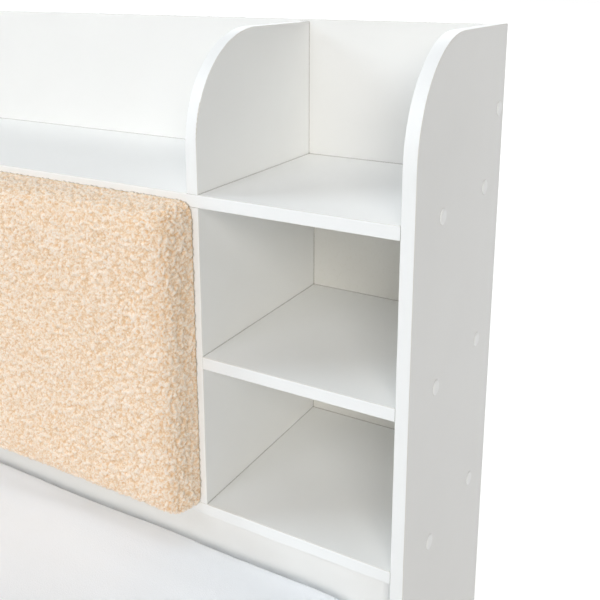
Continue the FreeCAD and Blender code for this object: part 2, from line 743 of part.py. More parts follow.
head_bracket, head_rail_screws, head_wing_screws = bracket(
    "head",
    f"{RECESSED} - steel",
    f"{FRONT} - bracket_leg",
    "bracket_leg + front_recess",
    f"{RECESSED} - steel",
    (f"{FRONT} - bracket_near", f"{FRONT} - bracket_far"),
    (0, 1, 0),
)
foot_bracket, foot_rail_screws, foot_wing_screws = bracket(
    "foot",
    f"{FOOT} + steel",
    FOOT,
    "bracket_leg",
    FOOT,
    (f"{FOOT} + bracket_near", f"{FOOT} + bracket_far"),
    (0, -1, 0),
)
keep(head_bracket, "rail_bracket_head_right")
keep(twin(head_bracket), "rail_bracket_head_left")
keep(foot_bracket, "rail_bracket_foot_right")
keep(twin(foot_bracket), "rail_bracket_foot_left")


def hanger(end, face_y, deep_low_y, flange_low_y, drive):
    """A steel seat for one end of the centre beam, with a flange on each side."""
    half = "(beam_width / 2 + fit)"
    low = f"{BEAM_UNDER} - steel"
    parts = [
        box(f"hanger_{end}_seat", (f"-{half} - steel", deep_low_y, low),
            f"2 * ({half} + steel)", "hanger_depth", "steel"),
        box(f"hanger_{end}_left", (f"-{half} - steel", deep_low_y, low),
            "steel", "hanger_depth", "hanger_height"),
        box(f"hanger_{end}_right", (half, deep_low_y, low), "steel", "hanger_depth", "hanger_height"),
        box(f"hanger_{end}_flange_left", (f"-{half} - steel - hanger_flange", flange_low_y, low),
            "hanger_flange + steel", "steel", "hanger_height"),
        box(f"hanger_{end}_flange_right", (half, flange_low_y, low),
            "hanger_flange + steel", "steel", "hanger_height"),
    ]
    screws = [
        wood_screw(
            f"hanger_screw_{end}_{name}",
            (f"{side} * ({half} + steel + hanger_flange / 2)", face_y, f"{low} + hanger_height / 2"),
            drive,
            "steel + board_bite",
        )
        for name, side in (("right", 1), ("left", -1))
    ]
    return cut(f"hanger_{end}_drilled", fuse(f"hanger_{end}", parts), screws), screws


head_hanger, head_hanger_screws = hanger(
    "head", f"{RECESSED} - steel", f"{RECESSED} - hanger_depth", f"{RECESSED} - steel", (0, 1, 0)
)
foot_hanger, foot_hanger_screws = hanger("foot", f"{FOOT} + steel", FOOT, FOOT, (0, -1, 0))
keep(head_hanger, "beam_hanger_head")
keep(foot_hanger, "beam_hanger_foot")

left_head_wing = twins(head_wing_screws)
left_foot_wing = twins(foot_wing_screws)
rail_screws = head_rail_screws + foot_rail_screws
left_rail_screws = twins(rail_screws)
bracket_screws = rail_screws + left_rail_screws + head_wing_screws + left_head_wing
bracket_screws += foot_wing_screws + left_foot_wing + head_hanger_screws + foot_hanger_screws
keep(group("bracket_screws_all", bracket_screws), "bracket_screws")

# The recessed panel under the bottom shelf carries the head ends of the rails and the beam.
lower_front_blank = board(
    "lower_front_blank",
    (f"-{INNER}", RECESSED, RAIL_UNDER),
    f"2 * {INNER}",
    "board",
    f"{BOTTOM_SHELF} - {RAIL_UNDER}",
)
lower_front_tools = both_ends("panel_low", "panel_high") + head_hanger_screws
lower_front_tools += head_wing_screws + left_head_wing
keep(cut("lower_front_drilled", lower_front_blank, lower_front_tools), "lower_front_panel")

footboard_blank = board(
    "footboard_blank",
    (f"-{OUTER}", f"{FOOT} - board", "glide_height"),
    f"2 * {OUTER}",
    "board",
    "slat_top + rail_above + foot_rise - glide_height",
    top_edges,
)
foot_side_twin = twin(foot_glide_side)
footboard_tools = foot_wing_screws + left_foot_wing + foot_hanger_screws
footboard_tools += [foot_glide_side, foot_side_twin, foot_glide_centre]
keep(cut("footboard_drilled", footboard_blank, footboard_tools), "footboard")

# Slats, each held by a screw in either ledge; the pitch spreads them over the bed's length.
SLAT_PITCH = f"(({INNER_LENGTH} - 2 * slat_start - slat_width) / {SLATS - 1})"
ledge_x = f"{INNER} - ledge / 2"
slat_screws = []
for n in range(SLATS):
    low_y = f"({FRONT} - slat_start - slat_width - {n} * {SLAT_PITCH})"
    fixing = wood_screw(f"slat_screw_{n + 1}", (ledge_x, f"{low_y} + slat_width / 2", "slat_top"),
                        (0, 0, -1), "slat_thick + ledge_bite")
    fixings = [fixing, twin(fixing)]
    blank = board(
        f"slat_blank_{n + 1}",
        (f"-{INNER} + slat_gap", low_y, SLAT_UNDER),
        f"2 * ({INNER} - slat_gap)",
        "slat_width",
        "slat_thick",
        slat_edges,
        "slat_round",
    )
    keep(cut(f"slat_drilled_{n + 1}", blank, fixings), f"slat_{n + 1:02d}")
    slat_screws += fixings
keep(group("slat_screws_all", slat_screws), "slat_screws")

# Ledges: square battens screwed to the rails halfway between slats.
ledge_screws = []
for n in range(LEDGE_SCREWS):
    y = f"{FRONT} - slat_start - slat_width / 2 - {2 * n + 0.5} * {SLAT_PITCH}"
    ledge_screws.append(wood_screw(f"ledge_screw_{n}", (f"{INNER} - ledge", y, f"{LEDGE_UNDER} + ledge / 2"),
                                   (1, 0, 0), "ledge + board_bite"))
left_ledge_screws = twins(ledge_screws)
keep(group("ledge_screws_all", ledge_screws + left_ledge_screws), "ledge_screws")

ledge_blank = box(
    "ledge_blank",
    (f"{INNER} - ledge", f"{FOOT} + ledge_end", LEDGE_UNDER),
    "ledge",
    f"{INNER_LENGTH} - 2 * ledge_end",
    "ledge",
)
ledge = cut("ledge", ledge_blank, ledge_screws + slat_screws[::2])
keep(ledge, "slat_ledge_right")
keep(twin(ledge), "slat_ledge_left")

rail_blank = board(
    "rail_blank",
    (INNER, FOOT, RAIL_UNDER),
    "board",
    INNER_LENGTH,
    f"slat_top + rail_above - {RAIL_UNDER}",
    top_edges,
)
rail = cut("rail", rail_blank, rail_screws + ledge_screws)
keep(rail, "side_rail_right")
keep(twin(rail), "side_rail_left")

# The centre beam on its two legs, each held by one bolt.
leg_bolts = {
    end: rod(f"leg_bolt_{end}", ("0", y, f"{BEAM_UNDER} - leg_bolt_depth"), (0, 0, 1),
             "leg_bolt", "2 * leg_bolt_depth")
    for end, y in leg_places.items()
}
beam_blank = box(
    "beam_blank",
    ("-beam_width / 2", FOOT, BEAM_UNDER),
    "beam_width",
    f"{INNER_LENGTH} + front_recess",
    "beam_height",
)
keep(cut("beam", beam_blank, list(leg_bolts.values())), "centre_beam")
for end, y in leg_places.items():
    blank = box(f"leg_blank_{end}", ("-leg / 2", f"{y} - leg / 2", "glide_height"),
                "leg", "leg", f"{BEAM_UNDER} - glide_height")
    keep(cut(f"leg_{end}", blank, [leg_bolts[end], leg_glides[end]]), f"centre_leg_{end}")
keep(group("leg_bolts_all", list(leg_bolts.values())), "leg_bolts")

# ---------------------------------------------------------------------------------------------
# The mattress: crowned on top, flat where it lies on the slats
# ---------------------------------------------------------------------------------------------

mattress_level = "mattress_height - mattress_crown"
lower_round = [
    (f"mattress_round * {1 - math.sin(math.radians(angle)):.4f}",
     f"mattress_round * {1 - math.cos(math.radians(angle)):.4f}")
    for angle in reversed(QUARTER_ROUND)
]
mattress_stations = lower_round + list(round_over(mattress_level, "mattress_round"))
mattress_stations += list(crown(mattress_level, "mattress_round", "mattress_crown", "mattress_swell"))
mattress = doc.addObject("PartDesign::Body", "mattress_body")
mattress_now = (SIZES["mattress_width"][0] / 2, SIZES["mattress_length"][0] / 2, SIZES["mattress_corner"][0])
mattress_sections = soft_sections(mattress, "XY_Plane", "mattress_section", mattress_stations,
                                  "mattress_width", "mattress_length", "mattress_corner", mattress_now)
soft_form(mattress, "AdditiveLoft", "mattress_form", mattress_sections)
place(mattress, ("0", f"{FOOT} + end_gap + mattress_length / 2", "slat_top + fit"))
keep(mattress, "mattress")

# ---------------------------------------------------------------------------------------------
# The small pieces as groups
# ---------------------------------------------------------------------------------------------

keep(group("panel_screws_all", list(panel_screws.values()) + list(left_screws.values())), "board_screws")
right_caps = keep(group("caps", panel_caps), "screw_caps_right")
keep(twin(right_caps), "screw_caps_left")
left_shelf_dowels = twins(shelf_dowels)
keep(group("dowels_all", divider_dowels + left_dowels + shelf_dowels + left_shelf_dowels), "dowels")
divider_screws = under_divider + left_under + [behind_divider, left_behind]
keep(group("divider_screws_all", divider_screws), "divider_screws")
keep(group("nails_all", nails + left_nails), "back_panel_nails")
left_glides = twins(panel_glides)
glides = panel_glides + left_glides + [foot_glide_side, foot_side_twin, foot_glide_centre]
keep(group("glides_all", glides + list(leg_glides.values())), "floor_glides")

# ---------------------------------------------------------------------------------------------
# Check and write
# ---------------------------------------------------------------------------------------------

doc.recompute()
for thing in doc.Objects:
    if "Invalid" in thing.State or "Error" in thing.State:
        raise RuntimeError(f"{thing.Name} failed: {thing.State}")
    if thing.TypeId == "Part::Cut" and thing.Shape.Volume >= thing.Base.Shape.Volume:
        raise RuntimeError(f"{thing.Name}: nothing was drilled")
if cover.Shape.Volume > foam.Shape.Volume:
    raise RuntimeError("the cover isn't hollow")
os.makedirs("parts", exist_ok=True)
whole = FreeCAD.BoundBox()
for piece in pieces:
    shape = piece.Shape
    if shape.isNull() or not shape.isValid() or not shape.Solids:
        raise RuntimeError(f"{piece.Label} has no valid solid")
    whole.add(shape.optimalBoundingBox(False))
    print(f"{piece.Label:26s} {len(shape.Solids):3d} solids {shape.Volume / 1000:12.1f} cm3")
    shape.exportStep(f"parts/{piece.Label}.step")
print(f"{len(pieces)} nodes, {whole.XLength:.1f} x {whole.YLength:.1f} x {whole.ZLength:.1f} mm")
print(f"centre {whole.Center.x:.2f}, {whole.Center.y:.2f}; lowest point {whole.ZMin:.2f}")
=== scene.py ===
import math

import bmesh
import bpy
import numpy as np
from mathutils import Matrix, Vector, noise


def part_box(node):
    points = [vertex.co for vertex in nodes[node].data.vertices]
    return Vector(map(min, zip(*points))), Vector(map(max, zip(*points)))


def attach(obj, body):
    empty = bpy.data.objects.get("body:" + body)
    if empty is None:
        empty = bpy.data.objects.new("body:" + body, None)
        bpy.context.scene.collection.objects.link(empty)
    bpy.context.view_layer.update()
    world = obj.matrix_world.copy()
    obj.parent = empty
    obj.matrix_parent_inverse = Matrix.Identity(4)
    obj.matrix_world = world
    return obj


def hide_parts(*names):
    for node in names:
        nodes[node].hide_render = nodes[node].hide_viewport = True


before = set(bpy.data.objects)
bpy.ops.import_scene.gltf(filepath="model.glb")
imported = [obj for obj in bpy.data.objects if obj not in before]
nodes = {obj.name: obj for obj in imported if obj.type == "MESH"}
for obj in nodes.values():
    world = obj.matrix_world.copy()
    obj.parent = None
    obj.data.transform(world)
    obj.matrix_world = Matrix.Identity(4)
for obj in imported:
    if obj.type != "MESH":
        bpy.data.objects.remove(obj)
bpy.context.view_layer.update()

# ------------------------------------------------------------------ the place to stand
# The headboard's right end, seen from beside the mattress and from a little above the shelves.
# Places are given from the front inner corner of the right side panel, at the top shelf's height.
panel_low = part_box("side_panel_right")[0]
corner = Vector((panel_low.x, panel_low.y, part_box("top_shelf")[1].z))
eye_from_corner = Vector((0.283, -0.6955, 0.2271))
degrees_down = 13.73
degrees_left = 29.40
picture_pixels = 600
focal_pixels = 823

eye = bpy.data.objects.new("eye", bpy.data.cameras.new("eye"))
bpy.context.scene.collection.objects.link(eye)
bpy.context.scene.camera = eye
bpy.context.scene.view_settings.view_transform = "Standard"
eye.data.sensor_width = 36
eye.data.lens = eye.data.sensor_width * focal_pixels / picture_pixels
eye.data.shift_y = -0.20
eye.data.clip_start = 0.01
eye.location = corner + eye_from_corner
eye.rotation_euler = (math.radians(90 - degrees_down), 0, math.radians(degrees_left))

# ------------------------------------------------------------------ side panels
# The two uprights of the headboard: 15 mm particle board, faced on both sides with a white
# melamine film and closed along the rounded edge with a cooler white edge band, glued on.
FACE_WHITE = (0.85, 0.853, 0.842, 1)
FACE_PALE = (0.87, 0.873, 0.862, 1)
BAND_WHITE = (0.885, 0.90, 0.902, 1)
GLUE_LINE = (0.70, 0.67, 0.62, 1)
# JOINT_SHADE is the painted shade in the narrow gaps where boards meet.
JOINT_SHADE = (0.48, 0.46, 0.43, 1)


def surface(name, roughness, **constants):
    """A new material: its node tree and its shader, with the numbers that are the same all over."""
    material = bpy.data.materials.new(name)
    material.use_nodes = True
    shader = material.node_tree.nodes["Principled BSDF"]
    shader.inputs["Roughness"].default_value = roughness
    for socket, value in constants.items():
        shader.inputs[socket.replace("_", " ")].default_value = value
    return material, material.node_tree, shader


def node(tree, kind, inputs=None, **settings):
    """A shader node with its settings, its sockets set to numbers or linked to other nodes."""
    made = tree.nodes.new(f"ShaderNode{kind}")
    for setting, value in settings.items():
        setattr(made, setting, value)
    for socket, value in (inputs or {}).items():
        if isinstance(value, bpy.types.NodeSocket):
            tree.links.new(value, made.inputs[socket])
        else:
            made.inputs[socket].default_value = value
    return made


def grain(tree, per_metre, detail):
    """Soft noise through the piece, so many patches to a metre."""
    places = node(tree, "TexCoord").outputs["Object"]
    return node(tree, "TexNoise", {"Vector": places, "Scale": per_metre, "Detail": detail}).outputs[0]


def mix(tree, factor, first, second, how="MIX"):
    """Two colours mixed by a factor, each a colour or another node's output."""
    made = node(tree, "Mix", {0: factor, 6: first, 7: second}, data_type="RGBA", blend_type=how)
    return made.outputs[2]


def ramp(tree, factor, low, high, dark=0.0, light=1.0):
    """A factor's range from low to high spread over dark to light."""
    spread = {"Value": factor, "From Min": low, "From Max": high, "To Min": dark, "To Max": light}
    return node(tree, "MapRange", spread, clamp=True).outputs[0]


def clouded(tree, clouds, first, second):
    """Two near colours that drift into each other over the surface."""
    return mix(tree, ramp(tree, clouds, 0.3, 0.7), first, second)


def rough(tree, shader, height, strength, distance):
    """A height on the surface that is too fine to model."""
    bump = node(tree, "Bump", {"Height": height, "Strength": strength, "Distance": distance})
    tree.links.new(bump.outputs[0], shader.inputs["Normal"])


def painted_joint_shade(tree, colour):
    """Painted shade: the colour darkened within about 2 mm of where one board butts against another,
    where shade falls in the gap.
    """
    closeness = node(tree, "AmbientOcclusion", {"Distance": 0.0022}, samples=6)
    open_air = ramp(tree, closeness.outputs["AO"], 0.45, 0.80)
    return mix(tree, open_air, mix(tree, 1.0, colour, JOINT_SHADE, "MULTIPLY"), colour)


def melamine(name, thin_way):
    """Melamine-faced board whose thickness runs along one axis, so that its edges show band."""
    material, tree, shader = surface(name, 0.38)
    facing = node(tree, "SeparateXYZ", {0: node(tree, "TexCoord").outputs["Normal"]})
    flatness = node(tree, "Math", {0: facing.outputs[thin_way]}, operation="ABSOLUTE").outputs[0]
    face = clouded(tree, grain(tree, 7.0, 3.0), FACE_WHITE, FACE_PALE)
    banded = mix(tree, ramp(tree, flatness, 0.55, 0.6), BAND_WHITE, face)
    glue = node(tree, "Math", {0: flatness, 1: 0.75, 2: 0.15}, operation="COMPARE").outputs[0]
    lined = mix(tree, glue, banded, GLUE_LINE)
    # Painted shade darkens the colour where this board meets another.
    tree.links.new(painted_joint_shade(tree, lined), shader.inputs["Base Color"])
    pearl = grain(tree, 620.0, 2.0)
    tree.links.new(ramp(tree, pearl, 0.3, 0.7, 0.34, 0.46), shader.inputs["Roughness"])
    rough(tree, shader, pearl, 0.10, 0.0004)
    return material


def dress(material, *names):
    """The finish of CAD pieces, on every slot that they have."""
    for name in names:
        for slot in nodes[name].material_slots:
            slot.material = material


upright_board = melamine("upright_board", "X")
dress(upright_board, "side_panel_right", "side_panel_left")

# ------------------------------------------------------------------ shelves
# The full-width top and bottom shelves and the short middle ones, of the same board laid flat,
# with the band along the front. The ends butt against side panels and dividers.
flat_board = melamine("flat_board", "Z")
dress(flat_board, "top_shelf", "bottom_shelf", "middle_shelf_right", "middle_shelf_left")

# ------------------------------------------------------------------ dividers
# Upright boards between pad and cubbies: straight ones under the top shelf, and rounded ones on
# it that match the side panels' curve.
dress(upright_board, "upper_divider_right", "upper_divider_left")
dress(upright_board, "lower_divider_right", "lower_divider_left")

# ------------------------------------------------------------------ back boards and front panel
# The board behind the top shelf and the recessed panel below the shelves stand across the bed.
# The lower cubbies are closed by a 3 mm panel of lacquered fibreboard, nailed on from behind.
LACQUER = (0.795, 0.785, 0.745, 1)
LACQUER_PALE = (0.82, 0.815, 0.785, 1)
FIBRE_SPECK = (0.62, 0.58, 0.50, 1)

across_board = melamine("across_board", "Y")
dress(across_board, "top_back_board", "lower_front_panel")

thin_panel, tree, shader = surface("thin_panel", 0.55)
fibres = grain(tree, 260.0, 6.0)
lacquer = clouded(tree, grain(tree, 9.0, 3.0), LACQUER, LACQUER_PALE)
speckled = mix(tree, ramp(tree, fibres, 0.55, 0.75, 0, 0.12), lacquer, FIBRE_SPECK)
# Painted shade darkens the colour where the panel meets the boards.
tree.links.new(painted_joint_shade(tree, speckled), shader.inputs["Base Color"])
rough(tree, shader, fibres, 0.15, 0.0004)
dress(thin_panel, "thin_back_panel")

# ------------------------------------------------------------------ the pad's board and steel angles
# A raw particle board, pressed from pale and dark chips. Four zinc-plated steel angles hold it
# to the lower dividers from behind.
CHIP_DARK = (0.50, 0.36, 0.22, 1)
CHIP_PALE = (0.78, 0.64, 0.46, 1)
ZINC_DARK = (0.58, 0.59, 0.60, 1)
ZINC_PALE = (0.70, 0.71, 0.72, 1)


def small_cells(tree, per_metre):
    """Small cells through the piece: their random colours, and the distance from their middles."""
    places = node(tree, "TexCoord").outputs["Object"]
    return node(tree, "TexVoronoi", {"Vector": places, "Scale": per_metre}).outputs


def tint_of(tree, cells):
    """A number from 0 to 1 for each cell."""
    red = node(tree, "SeparateColor", {0: cells["Color"]}).outputs[0]
    return ramp(tree, red, 0, 1)


chip_board, tree, shader = surface("chip_board", 0.85)
chips = small_cells(tree, 320.0)
chip = mix(tree, tint_of(tree, chips), CHIP_DARK, CHIP_PALE)
tree.links.new(chip, shader.inputs["Base Color"])
rough(tree, shader, chips["Distance"], 0.4, 0.0008)
dress(chip_board, "pad_board")

zinc, tree, shader = surface("zinc", 0.35, Metallic=1.0)
spangle = tint_of(tree, small_cells(tree, 240.0))
tree.links.new(mix(tree, spangle, ZINC_DARK, ZINC_PALE), shader.inputs["Base Color"])
tree.links.new(ramp(tree, spangle, 0, 1, 0.28, 0.42), shader.inputs["Roughness"])
dress(zinc, "pad_brackets", "pad_screws")

# ------------------------------------------------------------------ the pad's foam
# A block of open-celled foam glued to the board, cut with soft corners and with front edges
# that roll over to the sides. A little slack is left between it and the cover.
PORE = (0.72, 0.66, 0.48, 1)
FOAM_CREAM = (0.93, 0.90, 0.80, 1)


def spaced(low, high, cell, low_round, high_round):
    """Where the cells' edges lie along one side: closer together where it is rounded off, with
    one edge where the rounding has turned by a quarter of its way."""
    turning = 0.586
    middle = high - low - low_round - high_round
    inner = np.linspace(low + low_round, high - high_round, 1 + max(1, round(middle / cell)))
    first = [low, low + turning * low_round] if low_round else []
    last = [high - turning * high_round, high] if high_round else []
    return [*first, *inner, *last]


def skin_of_cells(lines):
    """The closed skin of a block that is cut into cells along three sets of lines."""
    block = bmesh.new()
    counts = [len(line) - 1 for line in lines]
    at = {}

    def point(index):
        if index not in at:
            at[index] = block.verts.new([lines[n][index[n]] for n in range(3)])
        return at[index]

    for axis in range(3):
        one, two = [n for n in range(3) if n != axis]
        for end in (0, counts[axis]):
            for a in range(counts[one]):
                for b in range(counts[two]):
                    ring = []
                    for da, db in ((0, 0), (1, 0), (1, 1), (0, 1)):
                        index = [0, 0, 0]
                        index[axis], index[one], index[two] = end, a + da, b + db
                        ring.append(point(tuple(index)))
                    block.faces.new(ring)
    bmesh.ops.recalc_face_normals(block, faces=block.faces)
    return block


def soft_block(name, low, high, cell, corner_round, edge_in, edge_deep, flat_side=None):
    """A closed block of square cells with soft corners and edges. corner_round is seen from the
    front or from above. From face to side an edge turns over edge_in by edge_deep; the flat side
    has no such edge."""
    deep = 1 if flat_side == "back" else 2
    plan = [n for n in range(3) if n != deep]
    lines = [None] * 3
    for n in plan:
        lines[n] = spaced(low[n], high[n], cell, edge_in, edge_in)
    lines[deep] = spaced(low[deep], high[deep], cell, edge_deep, 0 if flat_side else edge_deep)
    block = skin_of_cells(lines)
    for vertex in block.verts:
        core = [min(max(vertex.co[n], low[n] + corner_round), high[n] - corner_round) for n in plan]
        out = Vector([vertex.co[n] - core[k] for k, n in enumerate(plan)])
        reach = max(abs(out.x), abs(out.y))
        if reach == 0:
            continue
        from_low = vertex.co[deep] - low[deep]
        from_high = high[deep] - vertex.co[deep]
        depth = from_low if flat_side else min(from_low, from_high)
        beside = (reach - corner_round) / edge_in + 1
        below = 1 - depth / edge_deep
        if beside > 0 and below > 0:
            share = max(beside, below) / math.hypot(beside, below)
            turned = corner_round + (beside * share - 1) * edge_in
            sunk = (1 - below * share) * edge_deep
            vertex.co[deep] = low[deep] + sunk if depth == from_low else high[deep] - sunk
        else:
            turned = reach
        out = out.normalized() * turned
        for k, n in enumerate(plan):
            vertex.co[n] = core[k] + out[k]
    mesh = bpy.data.meshes.new(name)
    block.to_mesh(mesh)
    block.free()
    made = bpy.data.objects.new(name, mesh)
    bpy.context.scene.collection.objects.link(made)
    return made


def smooth(piece):
    """Shading that runs on over the edges between the cells."""
    piece.data.polygons.foreach_set("use_smooth", np.ones(len(piece.data.polygons), bool))


slack = 0.0025
foam_low, foam_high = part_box("pad_foam")
foam = soft_block(
    "foam_block",
    foam_low + Vector((slack, slack, slack)),
    foam_high - Vector((slack, 0, slack)),
    cell=0.014, corner_round=0.016, edge_in=0.014, edge_deep=0.026, flat_side="back",
)
smooth(foam)
open_cell, tree, shader = surface("open_cell_foam", 0.9)
cells = small_cells(tree, 900.0)["Distance"]
pores = mix(tree, ramp(tree, cells, 0.0, 0.5), PORE, FOAM_CREAM)
tree.links.new(pores, shader.inputs["Base Color"])
rough(tree, shader, cells, 0.5, 0.0006)
foam.data.materials.append(open_cell)
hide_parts("pad_foam")
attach(foam, "root")

# ------------------------------------------------------------------ the pad's curly cover
# A knitted pile fabric in peach-beige, drawn over the foam: its yarn is curled into small tight loops
# that clump together.
# Their tops are painted paler and the hollows between them tan, as painted light and shade.
# CREAM, PEACH and TAN are painted lit, half-shaded and shaded tones of the one peach-beige pile; the
# hollow tint is painted shade.
CREAM = (0.965, 0.865, 0.765, 1)
PEACH = (0.93, 0.765, 0.605, 1)
TAN = (0.83, 0.605, 0.395, 1)
HOLLOW_SHADE_TINT = (0.95, 0.83, 0.66, 1)
PATCH_TINT = (0.96, 0.90, 0.83, 1)
SHEEN_TINT = (1.0, 0.93, 0.86, 1)


def points_of(mesh):
    """The places of a mesh's points, one row each."""
    points = np.empty(len(mesh.vertices) * 3)
    mesh.vertices.foreach_get("co", points)
    return points.reshape(-1, 3)


def set_points(mesh, points):
    """A mesh's points moved to new places."""
    mesh.vertices.foreach_set("co", points.ravel())
    mesh.update()


def normals_of(mesh):
    """The way out of the surface at each point of a mesh."""
    normals = np.empty(len(mesh.vertices) * 3)
    mesh.vertices.foreach_get("normal", normals)
    return normals.reshape(-1, 3)


def stretched(piece, held, most, pressure=4.0, frames=20):
    """A cover tightened over its filling by a short cloth simulation; held points stay, and no
    point moves further than most."""
    before = points_of(piece.data)
    group = piece.vertex_groups.new(name="held")
    group.add([int(n) for n in np.nonzero(held)[0]], 1.0, "REPLACE")
    cloth = piece.modifiers.new("cloth", "CLOTH")
    cloth.settings.vertex_group_mass = "held"
    cloth.settings.use_pressure = True
    cloth.settings.uniform_pressure_force = pressure
    cloth.settings.effector_weights.gravity = 0
    cloth.settings.tension_stiffness = 12
    cloth.settings.bending_stiffness = 4
    cloth.settings.quality = 4
    cloth.point_cache.frame_end = frames
    scene = bpy.context.scene
    for frame_number in range(1, frames + 1):
        scene.frame_set(frame_number)
    settled = piece.evaluated_get(bpy.context.evaluated_depsgraph_get())
    after = points_of(settled.data)
    piece.modifiers.remove(cloth)
    piece.vertex_groups.clear()
    scene.frame_set(1)
    move = after - before
    length = np.linalg.norm(move, axis=1, keepdims=True)
    set_points(piece.data, before + move * np.minimum(1, most / np.maximum(length, 1e-9)))


def finer(piece, levels):
    """The same form with each cell halved, levels times, along a smooth surface."""
    subdivision = piece.modifiers.new("finer", "SUBSURF")
    subdivision.levels = subdivision.render_levels = levels
    subdivision.boundary_smooth = "PRESERVE_CORNERS"
    halved = piece.evaluated_get(bpy.context.evaluated_depsgraph_get())
    made = bpy.data.meshes.new_from_object(halved)
    piece.modifiers.remove(subdivision)
    piece.data = made


def lumps(points, spacing, warp, seed):
    """The height of a crowd of round lumps at each point, about 0 on the whole and 0.4 at most."""
    deep = np.empty(len(points))
    shift = Vector((seed, seed * 1.7, seed * 2.3))
    for n, place in enumerate(points):
        at = Vector(place) / spacing + shift
        at += noise.noise_vector(at * 0.9) * warp
        near, nearer = noise.voronoi(at)[0][:2]
        deep[n] = near / max(nearer, 1e-6) * near
    return deep.mean() - deep


# The skin lies inside the cover's box by half the pile's length in front and a third at the
# sides. Its back is open, with the rim held where the fabric is turned under the board.
pile = 0.004
cover_low, cover_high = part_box("pad_cover")
skin_low = cover_low + Vector((0.35, 0.5, 0.35)) * pile
skin_high = cover_high - Vector((0.35, 0, 0.35)) * pile
cover = soft_block(
    "curly_cover", skin_low, skin_high,
    cell=0.0132, corner_round=0.014, edge_in=0.014, edge_deep=0.030, flat_side="back",
)
shape = bmesh.new()
shape.from_mesh(cover.data)
back = [face for face in shape.faces if face.normal.y > 0.99]
bmesh.ops.delete(shape, geom=back, context="FACES")
shape.to_mesh(cover.data)
shape.free()
hair = 0.001
rim = points_of(cover.data)[:, 1] > skin_high.y - hair
stretched(cover, rim, most=0.003)
finer(cover, 1)
fabric_thickness = 0.0050
lining = points_of(cover.data) - normals_of(cover.data) * fabric_thickness
lining_faces = [tuple(face.vertices)[::-1] for face in cover.data.polygons]
finer(cover, 2)

# Curls sit on clumps of yarn, and both flatten out at the rim.
clump_lift = 0.0037
curl_lift = 0.0045
tallest = 0.0028
soft_limit = 0.0027
rim_width = 0.0015
curl_seed = 5
surface_points = points_of(cover.data)
outwards = normals_of(cover.data)
# Without a seed, noise_vector takes its offset from the clock.
noise.seed_set(curl_seed)
clumps = lumps(surface_points, spacing=0.0064, warp=0.50, seed=3.1)
curls = lumps(surface_points, spacing=0.0036, warp=0.65, seed=11.7)
rim_fade = np.clip((skin_high.y - surface_points[:, 1]) / rim_width, 0, 1)
height = tallest * np.tanh((clump_lift * clumps + curl_lift * curls) / soft_limit) * rim_fade
set_points(cover.data, surface_points + outwards * height[:, None])
smooth(cover)

# Painted light and shade: the curls are painted paler the higher they stand, by their height, which
# the material reads from the mesh.
palest = 0.0024
pale = np.clip((height + palest) / (2 * palest), 0, 1)
heights = cover.data.attributes.new("pile_height", "FLOAT", "POINT")
heights.data.foreach_set("value", pale.astype(np.float32))

curly, tree, shader = surface("curly_pile", 0.95, Sheen_Weight=0.08, Sheen_Roughness=0.5)
shader.inputs["Sheen Tint"].default_value = SHEEN_TINT
shader.inputs["Specular IOR Level"].default_value = 0.15
places = node(tree, "TexCoord").outputs["Object"]
pile_height = node(tree, "Attribute", attribute_name="pile_height").outputs["Fac"]
twist = node(tree, "TexNoise", {"Vector": places, "Scale": 420.0, "Detail": 3.0})
how_bent = {0: twist.outputs["Color"], 1: (0.0022, 0.0022, 0.0022)}
bent = node(tree, "VectorMath", how_bent, operation="MULTIPLY").outputs[0]
curled = node(tree, "VectorMath", {0: places, 1: bent}, operation="ADD").outputs[0]
yarn = node(tree, "TexVoronoi", {"Vector": curled, "Scale": 430.0}).outputs["Distance"]
# Painted shade: the colour is darker at the borders between the small curls.
between = ramp(tree, yarn, 0.20, 0.75, 0.0, 1.0)
raised = node(tree, "Math", {0: pile_height, 1: 0.3}, operation="ADD").outputs[0]
level = node(tree, "Math", {0: between, 1: -0.8, 2: raised}, operation="MULTIPLY_ADD").outputs[0]
# Painted light and shade: tan in the low places, then peach, then cream on the high ones.
low_part = mix(tree, ramp(tree, level, -0.15, 0.35), TAN, PEACH)
open_pile = mix(tree, ramp(tree, level, 0.30, 0.85), low_part, CREAM)
# Painted shade: where the AO node finds a hollow or the pad's turned side, the colour is multiplied
# by a deeper tan.
hollow = node(tree, "AmbientOcclusion", {"Distance": 0.010}, samples=8).outputs["AO"]
hollow_shaded = mix(tree, 1.0, open_pile, HOLLOW_SHADE_TINT, "MULTIPLY")
yarn_with_painted_shade = mix(tree, ramp(tree, hollow, 0.25, 0.85), hollow_shaded, open_pile)
tanned = mix(tree, 1.0, yarn_with_painted_shade, PATCH_TINT, "MULTIPLY")
patch = ramp(tree, grain(tree, 26.0, 3.0), 0.35, 0.65, 0.0, 0.12)
tree.links.new(mix(tree, patch, yarn_with_painted_shade, tanned), shader.inputs["Base Color"])
round_yarn = {0: yarn, 1: -1.3, 2: twist.outputs[0]}
fluff = node(tree, "Math", round_yarn, operation="MULTIPLY_ADD").outputs[0]
rough(tree, shader, fluff, 0.45, 0.0008)
cover.data.materials.append(curly)

# A plain lining behind the pile closes the cover into a skin with a thickness.
whole = bmesh.new()
whole.from_mesh(cover.data)
outer_edge = [edge for edge in whole.edges if edge.is_boundary]
inner = [whole.verts.new(place) for place in lining]
for face in lining_faces:
    whole.faces.new([inner[n] for n in face]).smooth = True
inner_edge = [edge for edge in whole.edges if edge.is_boundary and edge not in set(outer_edge)]
bmesh.ops.bridge_loops(whole, edges=outer_edge + inner_edge)
whole.to_mesh(cover.data)
whole.free()
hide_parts("pad_cover")
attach(cover, "root")

